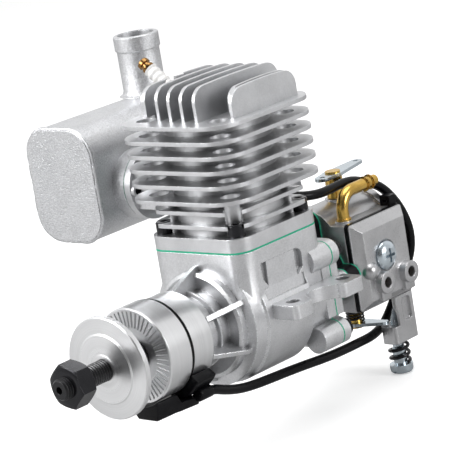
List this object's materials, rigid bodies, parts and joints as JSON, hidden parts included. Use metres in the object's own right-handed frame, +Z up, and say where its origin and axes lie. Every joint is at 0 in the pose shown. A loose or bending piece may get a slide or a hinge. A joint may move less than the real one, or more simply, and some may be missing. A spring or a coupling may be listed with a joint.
{
  "type": "model aircraft petrol engine",
  "caption": "Single-cylinder two-stroke petrol engine for a model aircraft, with beam mounts, side muffler, diaphragm carburettor, spark plug and ignition sensor.",
  "frame": {"origin": "centre of the four beam-mount holes, on the underside of the lugs, level with the crankshaft axis", "axes": "crankshaft along Y with the propeller at -Y and the carburettor at +Y, +Z up along the cylinder, muffler at -X"},
  "size_m": [0.1004, 0.162, 0.1254],
  "materials": {
    "cast_aluminium": "sand-cast and tumbled, fine grain",
    "turned_aluminium": "turned, fine rings",
    "carb_zinc": "die-cast zinc, satin",
    "black_steel": "black oxide",
    "bright_steel": "ground steel",
    "zinc_steel": "zinc-plated, bluish",
    "brass": "turned brass",
    "green_gasket": "pressed gasket sheet",
    "black_rubber": "matt rubber",
    "black_plastic": "moulded, satin",
    "ceramic": "glazed"
  },
  "bodies": {
    "engine": {"crankcase": "cast_aluminium", "front_ring": "turned_aluminium", "front_bearing": "bright_steel", "rear_bearing": "bright_steel", "shaft_seal": "black_rubber", "base_gasket": "green_gasket", "cylinder": "cast_aluminium", "base_screws": "black_steel", "spark_plug_shell": "bright_steel", "spark_plug_insulator": "ceramic", "spark_plug_terminal": "brass", "exhaust_gasket": "green_gasket", "muffler_shell": "cast_aluminium", "muffler_front_plate": "cast_aluminium", "muffler_rear_plate": "cast_aluminium", "exhaust_outlet": "cast_aluminium", "muffler_screws": "black_steel", "rear_gasket": "green_gasket", "reed_block": "cast_aluminium", "reed_petals": "black_steel", "rear_screws": "black_steel", "pulse_nipple": "brass", "insulator_gasket": "green_gasket", "insulator": "black_plastic", "carb_gasket": "green_gasket", "carb_body": "carb_zinc", "carb_screws": "black_steel", "pump_gasket": "black_rubber", "pump_cover": "carb_zinc", "pump_cover_screw": "zinc_steel", "metering_cover": "carb_zinc", "metering_screws": "zinc_steel", "fuel_elbow": "brass", "throttle_spring": "black_steel", "idle_spring": "black_steel", "sensor_housing": "black_plastic", "sensor_clamp": "black_plastic", "lead_clip": "black_plastic", "sensor_lead": "black_rubber", "lead_connector": "black_plastic"},
    "crank": {"crankshaft": "black_steel", "drive_hub": "turned_aluminium", "hub_magnet": "bright_steel", "prop_washer": "turned_aluminium", "prop_nut": "black_steel"},
    "piston": {"piston": "cast_aluminium", "piston_ring": "bright_steel", "wrist_pin": "bright_steel", "pin_circlips": "black_steel"},
    "rod": {"con_rod": "cast_aluminium", "small_end_bush": "brass", "big_end_bearing": "bright_steel"},
    "throttle": {"throttle_shaft": "brass", "throttle_plate": "brass", "throttle_arm": "zinc_steel", "stop_arm": "zinc_steel"},
    "idle": {"idle_screw": "zinc_steel"},
    "low_screw": {"low_needle": "brass"},
    "high_screw": {"high_needle": "brass"}
  },
  "joints": [
    {"name": "crank_spin", "type": "hinge", "parent": "engine", "child": "crank", "pos_m": [0, 0, 0], "axis": [0, 1, 0], "continuous": true},
    {"name": "piston_slide", "type": "slide", "parent": "engine", "child": "piston", "axis": [0, 0, 1], "range_m": [0, 0.019]},
    {"name": "rod_swing", "type": "hinge", "parent": "piston", "child": "rod", "pos_m": [0, -0.0063, 0.0255], "axis": [0, 1, 0], "range_deg": [-15.8, 15.8]},
    {"name": "throttle_turn", "type": "hinge", "parent": "engine", "child": "throttle", "pos_m": [0, 0.0455, 0], "axis": [0, 0, -1], "range_deg": [0, 75], "stiffness_Nm_per_rad": 0.01, "springref_deg": -17.19},
    {"name": "idle_set", "type": "slide", "parent": "engine", "child": "idle", "axis": [0, 0, 1], "range_m": [0, 0.002], "deforming": ["idle_spring"]},
    {"name": "low_speed_set", "type": "hinge", "parent": "engine", "child": "low_screw", "pos_m": [0.0155, 0.0396, -0.0054], "axis": [1, 0, 0], "range_deg": [-720, 360]},
    {"name": "high_speed_set", "type": "hinge", "parent": "engine", "child": "high_screw", "pos_m": [0.0155, 0.0524, -0.0054], "axis": [1, 0, 0], "range_deg": [-720, 360]}
  ]
}
